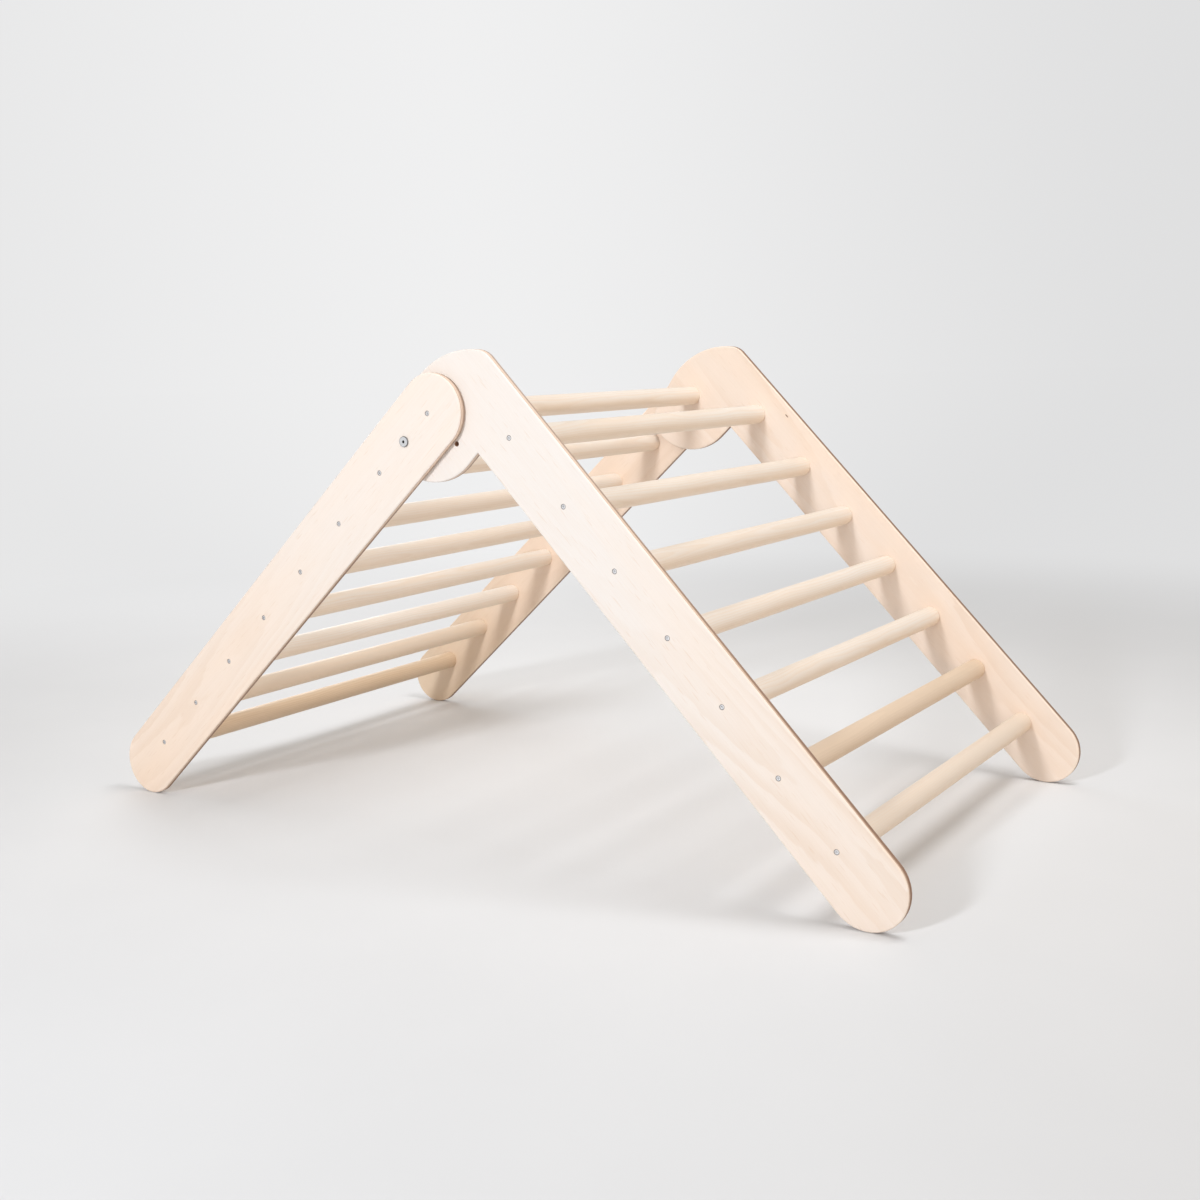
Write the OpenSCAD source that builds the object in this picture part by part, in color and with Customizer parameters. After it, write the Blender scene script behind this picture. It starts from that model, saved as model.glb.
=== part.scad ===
// Folding climbing triangle: two ladder frames of plywood side boards and round
// wooden rungs, hinged on a pivot rung and locked open by a bolt on each side.
// The leg direction of a frame is X and its face normal is Y while a board is drawn;
// the place_ modules lean it into the standing position, with the floor at Z = 0.

/* [Rungs] */
// Diameter of the round rungs and of the pivot rung
rung_d = 32; // [28:0.5:36]
// Centre distance of neighbouring rungs along a frame
rung_pitch = 112; // [100:1:118]
// Free width between the two inner side boards
clear_w = 710; // [500:1:900]
// Distance along the leg from the pivot to the first regular rung
first_rung_reach = 124; // [121:0.5:132]
// Distance along the leg from the pivot to the top rung of the inner frame
top_rung_reach = 113; // [106:1:124]

/* [Side boards] */
// Thickness of the plywood side boards
board_t = 12; // [9:0.5:18]
// Width of an inner side board
inner_board_w = 107; // [90:1:120]
// Width of an outer side board
outer_board_w = 106; // [80:1:112]
// How far an outer board's middle line lies below its rungs' line
outer_board_drop = 1.7; // [0:0.1:4]
// Distance from the last inner rung to the centre of the inner foot's round end
inner_foot_reach = 56; // [40:1:90]
// Distance from the last outer rung to the centre of the outer foot's round end
outer_foot_reach = 54.5; // [40:0.5:90]
// Distance from the pivot up to the centre of the outer board's round top
outer_top_reach = 5; // [0:0.5:20]
// Running gap between an inner head and the outer board beside it
swing_gap = 0.5; // [0.3:0.1:1]
// Gap left between the outer rungs and the inner boards' edges when folded
folded_gap = 0.8; // [0.5:0.1:3]
// Angle between the two frames when they are locked open
open_angle = 91.25; // [80:0.25:95]
// Radial running clearance of the pivot rung in the bores of the heads
pivot_clearance = 0.1; // [0.05:0.01:0.1]

/* [Head of the inner board] */
// Distance of both lock holes from the pivot
lock_radius = 58; // [54:0.5:60]
// Wood left in front of the folded lock hole, towards the rungs
nose_margin = 33; // [28:0.5:36]
// Wood left below the open lock hole
chin_margin = 39; // [34:0.5:42]
// How far the back corner of the head's outline lies behind the pivot
back_corner_reach = 68; // [58:1:80]
// How far the back corner of the head's outline lies above the pivot
back_corner_rise = 59; // [45:1:66]
// How far the chin corner of the head's outline lies behind the pivot
chin_corner_reach = 28.6; // [20:0.2:40]
// How far the crown corner of the head's outline lies in front of the pivot
crown_corner_reach = 2.5; // [-4:0.5:10]
// Radius of the crown, where the head meets the board's outer edge
crown_r = 34; // [20:1:40]
// Radius of the long curve at the back of the head
back_r = 130; // [90:1:140]
// Radius of the curve between the back and the chin
chin_r = 38; // [20:1:50]
// Radius of the curve between the chin and the nose
nose_r = 89; // [70:1:92]

/* [Screws] */
// Shank diameter of the wood screws
screw_d = 3.5; // [3:0.1:5]
// Length of the wood screws
screw_l = 45; // [35:1:60]
// Head diameter of the wood screws
screw_head_d = 7; // [6.5:0.1:9]
// Depth of the screw heads below the face of the board
screw_sink = 0.4; // [0.1:0.1:1]
// Radial clearance of the screws in their holes
screw_clearance = 0.1; // [0.05:0.01:0.2]
// Circle through the middles of the six lobes of the screw drive
drive_lobe_circle_d = 2.6; // [2.4:0.1:3.2]
// Diameter of one lobe of the screw drive
drive_lobe_d = 0.9; // [0.8:0.1:1.3]
// Depth of the screw drive
drive_depth = 1.3; // [1:0.1:2]

/* [Lock hardware] */
// Diameter of the lock holes
lock_hole_d = 7; // [6.4:0.1:9]
// Radial clearance of the nut's sleeve in its lock hole
sleeve_clearance = 0.1; // [0.05:0.05:0.3]
// Diameter of the flat heads of the lock bolt and of the sleeve nut
lock_head_d = 15; // [13:0.5:18]
// Thickness of these heads
lock_head_t = 2.2; // [1.5:0.1:3]
// Height of the sloped rim of these heads
lock_rim = 0.8; // [0.4:0.1:1.2]
// Shank diameter of the lock bolt
lock_bolt_d = 5; // [4.6:0.1:5.2]
// Wall of the sleeve between its outside and its threaded bore
sleeve_wall = 0.8; // [0.6:0.1:1]
// Size of the hex socket, across its flats
hex_flats = 3.5; // [2.5:0.1:3.6]
// Depth of the hex socket
hex_depth = 2.6; // [1.5:0.1:3]
// Distance of the bolt's tip and the sleeve's tip from the swing gap
tip_gap = 0.2; // [0.1:0.05:1]
// Gap under the seated heads
seat_gap = 0.1; // [0:0.05:0.2]

/* [Hidden] */

// Rungs of one frame, besides the pivot rung
rung_count = 7;
// Number of sides drawn on round pieces, and the turn of one step on an outline's curve
round_sides = 96;
small_sides = 48;
curve_step = 3;
// Overlap of a cut past the face that it breaks through
cut_over = 1;

birch_board = [0.95, 0.88, 0.79];
birch_rung = [0.91, 0.84, 0.72];
zinc = [0.75, 0.76, 0.78];

// Planes across the object, measured from its middle to one side
inner_face = clear_w / 2;
head_face = inner_face + board_t;
outer_inner_face = head_face + swing_gap;
outer_face = outer_inner_face + board_t;

// Places across a leg: the inner rungs' line, and the two edges of an inner board
rung_line = inner_board_w / 2 + rung_d / 2 + folded_gap;
inner_edge = rung_line - inner_board_w / 2;
outer_edge = rung_line + inner_board_w / 2;

// Places along the legs
last_rung = first_rung_reach + (rung_count - 1) * rung_pitch;
inner_foot = last_rung + inner_foot_reach;
outer_foot = last_rung + outer_foot_reach;

// The leans at which both pairs of feet touch the floor with the frames locked open
stance_across = rung_line + outer_foot * sin(open_angle) - outer_board_drop * cos(open_angle);
stance_along = inner_foot - outer_foot * cos(open_angle) - outer_board_drop * sin(open_angle);
foot_step = (outer_board_w - inner_board_w) / 2;
inner_lean = atan2(stance_across, stance_along)
           + asin(foot_step / norm([stance_along, stance_across]));
outer_lean = 180 - open_angle - inner_lean;

// Height of the pivot, and its place along X when the origin is under the middle
pivot_z = inner_board_w / 2 + inner_foot * sin(inner_lean) - rung_line * cos(inner_lean);
front_reach = inner_foot * cos(inner_lean) + rung_line * sin(inner_lean) + inner_board_w / 2;
back_reach = outer_foot * cos(outer_lean) - outer_board_drop * sin(outer_lean) + outer_board_w / 2;
pivot_x = (back_reach - front_reach) / 2;

// Distance of a rung from the pivot, along its leg
function inner_rung_at(n) = n == 1 ? top_rung_reach : first_rung_reach + (n - 1) * rung_pitch;
function outer_rung_at(n) = first_rung_reach + (n - 1) * rung_pitch;

// Lock holes of a head, about the pivot: the first holds the frames open, the second folded
lock_holes = [[lock_radius * cos(open_angle), -lock_radius * sin(open_angle)], [lock_radius, 0]];

// Corners of the inner board's outline, each with its radius, up to the foot's centre
head_nose = lock_radius + nose_margin;
head_chin = -lock_radius - chin_margin;
inner_corners = [
    [[head_nose, inner_edge], 0],
    [[inner_foot, inner_edge], 0],
    [[inner_foot, outer_edge], 0],
    [[crown_corner_reach, outer_edge], crown_r],
    [[-back_corner_reach, back_corner_rise], back_r],
    [[-chin_corner_reach, head_chin], chin_r],
    [[head_nose, head_chin], nose_r],
];

// A closed outline with rounded corners. A corner's curve starts and ends a tangent
// length away from it, and the two curves on an edge share that edge if it is short.
function wrap(list, i) = list[(i + len(list)) % len(list)];
function heading(v) = atan2(v.y, v.x);
function turn_at(c, i) =
    let (turn = heading(wrap(c, i + 1)[0] - c[i][0]) - heading(c[i][0] - wrap(c, i - 1)[0]))
    turn - 360 * round(turn / 360);
function tangent_at(c, i) = c[i][1] * abs(tan(turn_at(c, i) / 2));
function edge_share(c, tangents, i, j) =
    let (wanted = wrap(tangents, i) + wrap(tangents, j))
    wanted == 0 ? 1 : min(1, norm(wrap(c, i)[0] - wrap(c, j)[0]) / wanted);
function rounded_corner(c, tangents, i) =
    let (share = min(edge_share(c, tangents, i - 1, i), edge_share(c, tangents, i, i + 1)),
         turn = turn_at(c, i),
         r = c[i][1] * share,
         before = heading(c[i][0] - wrap(c, i - 1)[0]),
         start = c[i][0] - tangents[i] * share * [cos(before), sin(before)],
         side = sign(turn),
         centre = start + side * r * [-sin(before), cos(before)],
         steps = max(1, ceil(abs(turn) / curve_step)))
    r == 0 ? [c[i][0]]
           : [for (k = [0:steps])
                 let (a = before - side * 90 + turn * k / steps)
                 centre + r * [cos(a), sin(a)]];
function rounded_outline(c) =
    let (tangents = [for (i = [0:len(c) - 1]) tangent_at(c, i)])
    [for (i = [0:len(c) - 1]) each rounded_corner(c, tangents, i)];

// Leans a frame drawn in its own plane; its left side faces local +Z
module place_inner() {
    translate([pivot_x, 0, pivot_z])
        rotate([0, inner_lean, 0])
            rotate([90, 0, 0])
                children();
}

module place_outer() {
    translate([pivot_x, 0, pivot_z])
        rotate([0, 180 - outer_lean, 0])
            rotate([90, 0, 0])
                children();
}

// The right side is the mirror image of the left side
module right_side() {
    mirror([0, 1, 0])
        children();
}

// A round bar along local Z, from one height to another
module bar(d, low, high, sides = round_sides) {
    translate([0, 0, low])
        cylinder(d = d, h = high - low, $fn = sides);
}

// The hole for a countersunk screw that enters at the height of a face
module screw_hole(face) {
    hole_d = screw_d + 2 * screw_clearance;
    mouth_d = screw_head_d + 2 * screw_clearance;
    cone_top = face - screw_sink;
    cone_h = (screw_head_d - screw_d) / 2;
    bar(hole_d, cone_top - screw_l - cut_over, cone_top, small_sides);
    translate([0, 0, cone_top - cone_h])
        cylinder(d1 = hole_d, d2 = mouth_d, h = cone_h, $fn = small_sides);
    bar(mouth_d, cone_top, face + cut_over, small_sides);
}

module screw(face) {
    cone_top = face - screw_sink;
    cone_h = (screw_head_d - screw_d) / 2;
    difference() {
        union() {
            bar(screw_d, cone_top - screw_l, cone_top - cone_h, small_sides);
            translate([0, 0, cone_top - cone_h])
                cylinder(d1 = screw_d, d2 = screw_head_d, h = cone_h, $fn = small_sides);
        }
        bar(drive_lobe_circle_d, cone_top - drive_depth, cone_top + cut_over, small_sides);
        for (lobe = [0:5])
            rotate([0, 0, lobe * 60])
                translate([drive_lobe_circle_d / 2, 0, 0])
                    bar(drive_lobe_d, cone_top - drive_depth, cone_top + cut_over, small_sides);
    }
}

// A rung between two faces, drilled at both ends for its screws
module rung(end_face, screw_face) {
    difference() {
        bar(rung_d, -end_face, end_face);
        screw_hole(screw_face);
        mirror([0, 0, 1])
            screw_hole(screw_face);
    }
}

module inner_board() {
    color(birch_board)
        place_inner()
            difference() {
                translate([0, 0, inner_face])
                    linear_extrude(board_t)
                        union() {
                            polygon(rounded_outline(inner_corners));
                            translate([inner_foot, rung_line])
                                circle(d = inner_board_w, $fn = round_sides);
                        }
                bar(rung_d + 2 * pivot_clearance, inner_face - cut_over, head_face + cut_over);
                for (hole = lock_holes)
                    translate([hole.x, hole.y, 0])
                        bar(lock_hole_d, inner_face - cut_over, head_face + cut_over, small_sides);
                for (n = [1:rung_count])
                    translate([inner_rung_at(n), rung_line, 0])
                        screw_hole(head_face);
            }
}

module outer_board() {
    color(birch_board)
        place_outer()
            difference() {
                translate([0, 0, outer_inner_face])
                    linear_extrude(board_t)
                        union() {
                            translate([-outer_top_reach, outer_board_drop - outer_board_w / 2])
                                square([outer_top_reach + outer_foot, outer_board_w]);
                            for (end = [-outer_top_reach, outer_foot])
                                translate([end, outer_board_drop])
                                    circle(d = outer_board_w, $fn = round_sides);
                        }
                translate([lock_radius, 0, 0])
                    bar(lock_hole_d, outer_inner_face - cut_over, outer_face + cut_over,
                        small_sides);
                screw_hole(outer_face);
                for (n = [1:rung_count])
                    translate([outer_rung_at(n), 0, 0])
                        screw_hole(outer_face);
            }
}

module inner_rung(n) {
    color(birch_rung)
        place_inner()
            translate([inner_rung_at(n), rung_line, 0])
                rung(inner_face, head_face);
}

module outer_rung(n) {
    color(birch_rung)
        place_outer()
            translate([outer_rung_at(n), 0, 0])
                rung(outer_inner_face, outer_face);
}

module pivot_rung() {
    color(birch_rung)
        place_outer()
            rung(outer_inner_face, outer_face);
}

module inner_screws() {
    color(zinc)
        place_inner()
            for (n = [1:rung_count])
                translate([inner_rung_at(n), rung_line, 0])
                    screw(head_face);
}

module outer_screws() {
    color(zinc)
        place_outer()
            for (n = [1:rung_count])
                translate([outer_rung_at(n), 0, 0])
                    screw(outer_face);
}

module pivot_screw() {
    color(zinc)
        place_outer()
            screw(outer_face);
}

// A flat round head with a sloped rim and a hex socket, its underside at local Z = 0
module lock_head(shank_d, shank_l) {
    difference() {
        union() {
            bar(lock_head_d, 0, lock_head_t - lock_rim, small_sides);
            translate([0, 0, lock_head_t - lock_rim])
                cylinder(d1 = lock_head_d, d2 = lock_head_d - 2 * lock_rim, h = lock_rim,
                         $fn = small_sides);
            bar(shank_d, -shank_l, 0, small_sides);
        }
        translate([0, 0, lock_head_t - hex_depth])
            cylinder(d = hex_flats / cos(30), h = hex_depth + cut_over, $fn = 6);
    }
}

module lock_bolt() {
    color(zinc)
        place_outer()
            translate([lock_radius, 0, outer_face + seat_gap])
                lock_head(lock_bolt_d, board_t + seat_gap - tip_gap);
}

module lock_nut() {
    sleeve_d = lock_hole_d - 2 * sleeve_clearance;
    sleeve_l = board_t + seat_gap - tip_gap;
    color(zinc)
        place_inner()
            translate([lock_holes[0].x, lock_holes[0].y, inner_face - seat_gap])
                mirror([0, 0, 1])
                    difference() {
                        lock_head(sleeve_d, sleeve_l);
                        bar(sleeve_d - 2 * sleeve_wall, -sleeve_l - cut_over, -hex_depth,
                            small_sides);
                    }
}

inner_board();  // inner_board_left
right_side() inner_board();  // inner_board_right
inner_rung(1);  // inner_rung_1
inner_rung(2);  // inner_rung_2
inner_rung(3);  // inner_rung_3
inner_rung(4);  // inner_rung_4
inner_rung(5);  // inner_rung_5
inner_rung(6);  // inner_rung_6
inner_rung(7);  // inner_rung_7
inner_screws();  // inner_screws_left
right_side() inner_screws();  // inner_screws_right
outer_board();  // outer_board_left
right_side() outer_board();  // outer_board_right
outer_rung(1);  // outer_rung_1
outer_rung(2);  // outer_rung_2
outer_rung(3);  // outer_rung_3
outer_rung(4);  // outer_rung_4
outer_rung(5);  // outer_rung_5
outer_rung(6);  // outer_rung_6
outer_rung(7);  // outer_rung_7
outer_screws();  // outer_screws_left
right_side() outer_screws();  // outer_screws_right
pivot_rung();
pivot_screw();  // pivot_screw_left
right_side() pivot_screw();  // pivot_screw_right
lock_bolt();  // lock_bolt_left
right_side() lock_bolt();  // lock_bolt_right
lock_nut();  // lock_nut_left
right_side() lock_nut();  // lock_nut_right
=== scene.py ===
import math

import bmesh
import bpy
from mathutils import Matrix, Vector


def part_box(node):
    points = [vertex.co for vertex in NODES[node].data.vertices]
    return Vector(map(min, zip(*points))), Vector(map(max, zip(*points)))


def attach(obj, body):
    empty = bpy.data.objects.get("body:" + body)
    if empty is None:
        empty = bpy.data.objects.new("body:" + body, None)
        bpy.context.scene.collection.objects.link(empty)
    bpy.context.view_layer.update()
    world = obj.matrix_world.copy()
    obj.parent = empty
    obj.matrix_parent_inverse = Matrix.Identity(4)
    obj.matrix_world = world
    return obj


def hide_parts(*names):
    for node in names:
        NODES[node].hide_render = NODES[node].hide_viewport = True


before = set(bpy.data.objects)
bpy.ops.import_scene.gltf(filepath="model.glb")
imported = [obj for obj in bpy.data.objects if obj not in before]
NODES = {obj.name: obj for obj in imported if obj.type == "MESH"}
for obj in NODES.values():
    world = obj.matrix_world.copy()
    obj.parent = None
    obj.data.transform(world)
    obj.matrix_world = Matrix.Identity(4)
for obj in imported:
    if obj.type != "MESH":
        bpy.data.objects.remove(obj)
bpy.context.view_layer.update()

bl_info = {
    "name": "Folding climbing triangle",
    "version": (1, 0, 0),
    "blender": (4, 5, 0),
    "location": "3D View > Sidebar > Climbing triangle",
    "description": "Birch boards, round rungs and zinc fittings around the fixed frame",
    "category": "Add Mesh",
}

SIDES = ("left", "right")
RUNG_NUMBERS = range(1, 8)
MM = 0.001


# --- Places taken from the frame -------------------------------------------------------------

def middle(node):
    low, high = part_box(node)
    return (low + high) / 2


def leg_direction(first, last):
    return (middle(last) - middle(first)).normalized()


PIVOT = middle("pivot_rung")
INNER_LEG = leg_direction("inner_rung_2", "inner_rung_7")
OUTER_LEG = leg_direction("pivot_rung", "outer_rung_7")
LOCK_RADIUS = (middle("lock_bolt_left") - PIVOT).xz.length
RUNG_RADIUS = (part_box("pivot_rung")[1].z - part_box("pivot_rung")[0].z) / 2
# The hole that takes the lock bolt when the frames are folded
FOLDED_HOLE = PIVOT + INNER_LEG * LOCK_RADIUS


def lean(leg):
    """The turn about Y that brings a leg's direction to +X."""
    return math.atan2(leg.z, leg.x)


def along_leg(point, leg):
    """A point's place from the pivot, with X along the leg."""
    return Matrix.Rotation(lean(leg), 3, "Y") @ (point - PIVOT)


# --- Sizes and colours that a user would change ----------------------------------------------

def length_setting(name, description, default):
    return bpy.props.FloatProperty(name=name, description=description, default=default,
                                   min=0.0, subtype="DISTANCE", unit="LENGTH")


def colour_setting(name, description, default):
    return bpy.props.FloatVectorProperty(name=name, description=description, size=3,
                                         default=default, min=0.0, max=1.0, subtype="COLOR")


class BoardSettings(bpy.types.PropertyGroup):
    edge_round: length_setting("Edge round", "Radius of the rounded long edges", 2.5 * MM)
    hole_round: length_setting("Hole round", "Radius at the rims of the lock holes", 0.35 * MM)
    veneer: colour_setting("Veneer", "Colour of the palest face veneer", (0.815, 0.766, 0.730))
    # Besides the veneer's own tone and the knots' halos, the warm veneer is painted light: lit
    # heads get less of it, boards with less light more
    warm_veneer: colour_setting("Warm veneer", "Colour of the warmest face veneer",
                                (0.890, 0.718, 0.585))
    # The colour below is painted shade: it darkens the far outer board towards its foot
    painted_shade_veneer: colour_setting("Painted shade veneer", "Colour of the brownest face veneer",
                                (0.760, 0.600, 0.450))
    grain_line: colour_setting("Grain line", "Colour of the veneer's growth lines",
                               (0.660, 0.450, 0.290))
    long_ply: colour_setting("Long ply", "Colour of the plies that run along the leg",
                             (0.860, 0.680, 0.540))
    cross_ply: colour_setting("Cross ply", "Colour of the plies that show their end grain",
                              (0.720, 0.520, 0.400))
    # Besides the glue between plies and a knot's heart, this colour is painted shade on the
    # edges' far side and around the screw heads
    glue_and_shade: colour_setting("Glue line", "Colour of the glue between two plies",
                              (0.170, 0.078, 0.042))
    # This colour is painted shade on the walls of the lock holes
    hole_shade_colour: colour_setting("Hole shade", "Colour of the walls of the lock holes",
                               (0.300, 0.125, 0.050))
    ply_count: bpy.props.IntProperty(name="Plies", description="Number of plies in a board",
                                     default=7, min=3, max=15)


class RungSettings(bpy.types.PropertyGroup):
    end_round: length_setting("End round", "Radius at the rim of a rung's end", 1.0 * MM)
    pilot_radius: length_setting("Pilot hole radius", "Radius of the screw hole in an end",
                                 1.85 * MM)
    pilot_depth: length_setting("Pilot hole depth", "Depth of the screw hole in an end", 36 * MM)
    early_wood: colour_setting("Early wood", "Colour of the pale part of a growth ring",
                               (0.830, 0.768, 0.705))
    # This colour is painted warm bounce light on the underside of each rung
    underside_bounce: colour_setting("Underside bounce", "Colour of the wood at the heart side of a rung",
                               (0.880, 0.722, 0.570))
    late_wood: colour_setting("Late wood", "Colour of the dark part of a growth ring",
                              (0.770, 0.610, 0.465))
    brown_wood: colour_setting("Brown wood", "Colour of the brownest rungs",
                               (0.630, 0.465, 0.310))


class FittingSettings(bpy.types.PropertyGroup):
    zinc: colour_setting("Zinc", "Colour of the zinc plated screws", (0.88, 0.88, 0.89))
    bright_zinc: colour_setting("Bright zinc", "Colour of the lock bolts and nuts",
                                (0.86, 0.87, 0.89))
    shaded_zinc: colour_setting("Shaded zinc", "Colour deep in a socket and around a rim",
                                (0.05, 0.05, 0.055))
    rim_round: length_setting("Rim round", "Height of the rounded rim of a lock head", 0.8 * MM)
    socket_width: length_setting("Hex width", "Width across the flats of the hex socket",
                                 3.5 * MM)
    socket_depth: length_setting("Hex depth", "Depth of the hex socket", 2.6 * MM)
    head_height: length_setting("Head height", "Height of a lock head", 2.2 * MM)
    bolt_radius: length_setting("Bolt radius", "Radius of the lock bolt's shank", 2.5 * MM)
    sleeve_radius: length_setting("Sleeve radius", "Radius of the nut's sleeve", 3.4 * MM)
    thread_radius: length_setting("Thread radius", "Radius of the bore in the nut's sleeve",
                                  2.6 * MM)


class StageSettings(bpy.types.PropertyGroup):
    camera_place: bpy.props.FloatVectorProperty(
        name="Camera place", description="Where the camera stands", size=3,
        default=(PIVOT.x + 1.3001, -1.9377, 0.6835), subtype="TRANSLATION", unit="LENGTH")
    camera_turn: bpy.props.FloatVectorProperty(
        name="Camera turn", description="Turn of the camera about X, Y and Z", size=3,
        default=[math.radians(angle) for angle in (81.4614, 1.6470, 33.4504)],
        subtype="EULER", unit="ROTATION")
    lens: bpy.props.FloatProperty(name="Lens", description="Focal length on a 36 mm sensor",
                                  default=43.91, min=1.0, unit="CAMERA")
    shift: bpy.props.FloatVectorProperty(
        name="Lens shift", description="Shift of the picture in shares of its width", size=2,
        default=(0.0078, -0.0126), min=-1.0, max=1.0)
    floor: colour_setting("Floor", "Colour of the floor behind the object", (0.83, 0.85, 0.88))
    # The near floor colour is painted shade on the floor further from the object
    near_floor: colour_setting("Near floor", "Colour of the floor under the front lamp",
                               (0.625, 0.640, 0.665))
    background: colour_setting("Background", "Colour behind the floor", (0.870, 0.870, 0.873))
    # The side background is painted shade towards the sides
    side_background: colour_setting("Side background", "Colour behind the floor, to the sides",
                                    (0.735, 0.735, 0.738))


# --- Node trees ------------------------------------------------------------------------------

class Graph:
    """Adds nodes to one node tree and links them as they are made."""

    STEP = 190

    def __init__(self, tree):
        self.tree = tree

    def set(self, socket, value):
        if isinstance(value, bpy.types.NodeSocket):
            self.tree.links.new(value, socket)
        elif hasattr(value, "__len__") and socket.type == "RGBA":
            socket.default_value = (*value[:3], 1.0)
        else:
            socket.default_value = value

    def node(self, kind, inputs, **settings):
        made = self.tree.nodes.new(kind)
        made.location = (self.STEP * len(self.tree.nodes), 0)
        for name, value in settings.items():
            setattr(made, name, value)
        for key, value in inputs.items():
            self.set(made.inputs[key], value)
        return made

    def math(self, operation, a, b=0.0, clamp=False):
        return self.node("ShaderNodeMath", {0: a, 1: b}, operation=operation,
                         use_clamp=clamp).outputs[0]

    def vector(self, operation, a, b):
        return self.node("ShaderNodeVectorMath", {0: a, 1: b}, operation=operation).outputs[0]

    def split(self, vector):
        return self.node("ShaderNodeSeparateXYZ", {0: vector}).outputs

    def join(self, x, y, z):
        return self.node("ShaderNodeCombineXYZ", {0: x, 1: y, 2: z}).outputs[0]

    def mix(self, share, a, b):
        return self.node("ShaderNodeMix", {0: share, 6: a, 7: b}, data_type="RGBA").outputs[2]

    def length(self, a, b):
        """Length of a line that reaches a in one direction and b across it."""
        return self.math("SQRT", self.math("ADD", self.math("MULTIPLY", a, a),
                                           self.math("MULTIPLY", b, b)))

    def ramp(self, value, low, high, start=0.0, end=1.0):
        """A smooth step from start to end while value goes from low to high."""
        return self.node("ShaderNodeMapRange", {0: value, 1: low, 2: high, 3: start, 4: end},
                         interpolation_type="SMOOTHSTEP").outputs[0]

    def noise(self, place, seed, scale, detail=2.0, roughness=0.5):
        return self.node("ShaderNodeTexNoise", {
            "Vector": place, "W": seed, "Scale": scale, "Detail": detail,
            "Roughness": roughness}, noise_dimensions="4D").outputs[0]


def new_group(name, inputs, outputs):
    """A shader node group with named sockets. Returns it, its graph, its inputs and outputs."""
    tree = bpy.data.node_groups.new(name, "ShaderNodeTree")
    for label, kind, value in inputs:
        socket = tree.interface.new_socket(name=label, in_out="INPUT", socket_type=kind)
        if value is not None:
            socket.default_value = value
    for label, kind in outputs:
        tree.interface.new_socket(name=label, in_out="OUTPUT", socket_type=kind)
    graph = Graph(tree)
    entry = graph.node("NodeGroupInput", {})
    leave = graph.node("NodeGroupOutput", {})
    return tree, graph, entry.outputs, leave.inputs


FLOAT = "NodeSocketFloat"
COLOUR = "NodeSocketColor"
VECTOR = "NodeSocketVector"


def wood_figure_group():
    """Flames, fibres and pores of birch. Place is in metres, with X along the grain."""
    tree, graph, given, result = new_group(
        "Wood figure", [("Place", VECTOR, None), ("Seed", FLOAT, 0.0)],
        [("Patches", FLOAT), ("Lines", FLOAT), ("Fibres", FLOAT), ("Flecks", FLOAT)])
    seed = given["Seed"]
    flame_lines = 20.0
    raggedness = 0.016

    def drawn_out(share):
        """The place, with only a share of its length, so that patterns run along the grain."""
        return graph.vector("MULTIPLY", given["Place"], (share, 1.0, 1.0))

    def other_seed(step):
        return graph.math("ADD", seed, step)

    broad = drawn_out(0.16)
    graph.set(result["Patches"], graph.noise(broad, seed, scale=16.0, roughness=0.55))
    field = graph.noise(broad, other_seed(7.3), scale=7.0, detail=1.0, roughness=0.4)
    ragged = graph.noise(drawn_out(0.3), other_seed(1.9), scale=130.0, detail=1.0)
    field = graph.math("ADD", field, graph.math("MULTIPLY", ragged, raggedness))
    ring = graph.math("FRACT", graph.math("MULTIPLY", field, flame_lines))
    flame = graph.math("MULTIPLY", graph.ramp(ring, 0.1, 0.88), graph.ramp(ring, 1.0, 0.9))
    clear = graph.ramp(graph.noise(broad, other_seed(3.1), scale=9.0, detail=1.0), 0.3, 0.65)
    graph.set(result["Lines"], graph.math("MULTIPLY", flame, clear))
    graph.set(result["Fibres"], graph.noise(drawn_out(0.02), seed, scale=900.0, roughness=0.6))
    speck = graph.noise(drawn_out(0.07), other_seed(5.7), scale=620.0, detail=0.0)
    graph.set(result["Flecks"], graph.ramp(speck, 0.70, 0.80))
    return tree


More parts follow.
